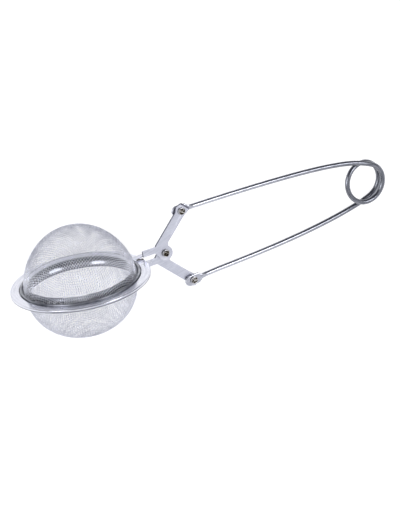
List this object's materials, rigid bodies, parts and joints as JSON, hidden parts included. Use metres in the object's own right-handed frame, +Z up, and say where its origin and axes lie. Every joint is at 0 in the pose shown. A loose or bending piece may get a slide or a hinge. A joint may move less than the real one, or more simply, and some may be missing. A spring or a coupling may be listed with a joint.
{
  "type": "tea infuser",
  "caption": "Ball of wire mesh in two halves with a flat rim, opened by squeezing a sprung wire handle with a coil at its end.",
  "frame": {"origin": "centre of the footprint, on the table that the infuser lies on", "axes": "+Z up from the table; +X along the length, from the ball to the coil; the ball's own axis leans 50 degrees from +Z towards +Y, because the infuser lies on its lower dome, the flange's lip and the coil"},
  "size_m": [0.1804, 0.05, 0.0506],
  "materials": {
    "wire_mesh": "woven stainless wire, fine mesh",
    "pressed_steel": "polished stainless",
    "ring_steel": "plain stainless, darker inside the ball",
    "lever_steel": "satin stainless, finely brushed",
    "rivet_metal": "nickel-plated rivet, tarnished in the middle",
    "spring_wire": "bright drawn stainless wire"
  },
  "bodies": {
    "lower_jaw": {"lower_mesh_dome": "wire_mesh", "lower_rim": "pressed_steel", "lower_mesh_retainer": "ring_steel", "lower_lever": "lever_steel", "pivot_rivet": "rivet_metal", "lower_handle_rivet": "rivet_metal"},
    "upper_jaw": {"upper_mesh_dome": "wire_mesh", "upper_rim": "pressed_steel", "upper_mesh_retainer": "ring_steel", "upper_lever": "lever_steel", "upper_handle_rivet": "rivet_metal"},
    "lower_handle": {"handle_wire_lower": "spring_wire", "handle_coil": "spring_wire"},
    "upper_handle": {"handle_wire_upper": "spring_wire"}
  },
  "joints": [
    {"name": "jaw_pivot", "type": "hinge", "parent": "lower_jaw", "child": "upper_jaw", "pos_m": [-0.01794, -0.00039, 0.02059], "axis": [-0.0864, 0.6453, -0.759], "range_deg": [0, 60], "stiffness_Nm_per_rad": 0.05, "springref_deg": -34.38},
    {"name": "lower_rivet_pivot", "type": "hinge", "parent": "lower_jaw", "child": "lower_handle", "pos_m": [-0.00841, -0.01299, 0.00879], "axis": [-0.0864, 0.6453, -0.759], "range_deg": [0, 35]},
    {"name": "coil_flex", "type": "hinge", "parent": "lower_handle", "child": "upper_handle", "pos_m": [0.08027, 0.00011, 0.00984], "axis": [-0.0864, 0.6453, -0.759], "range_deg": [-10, 0]}
  ],
  "couplings": [
    {"joint": "lower_rivet_pivot", "follows": "jaw_pivot", "ratio": 0.57406},
    {"joint": "coil_flex", "follows": "jaw_pivot", "ratio": -0.15751}
  ]
}
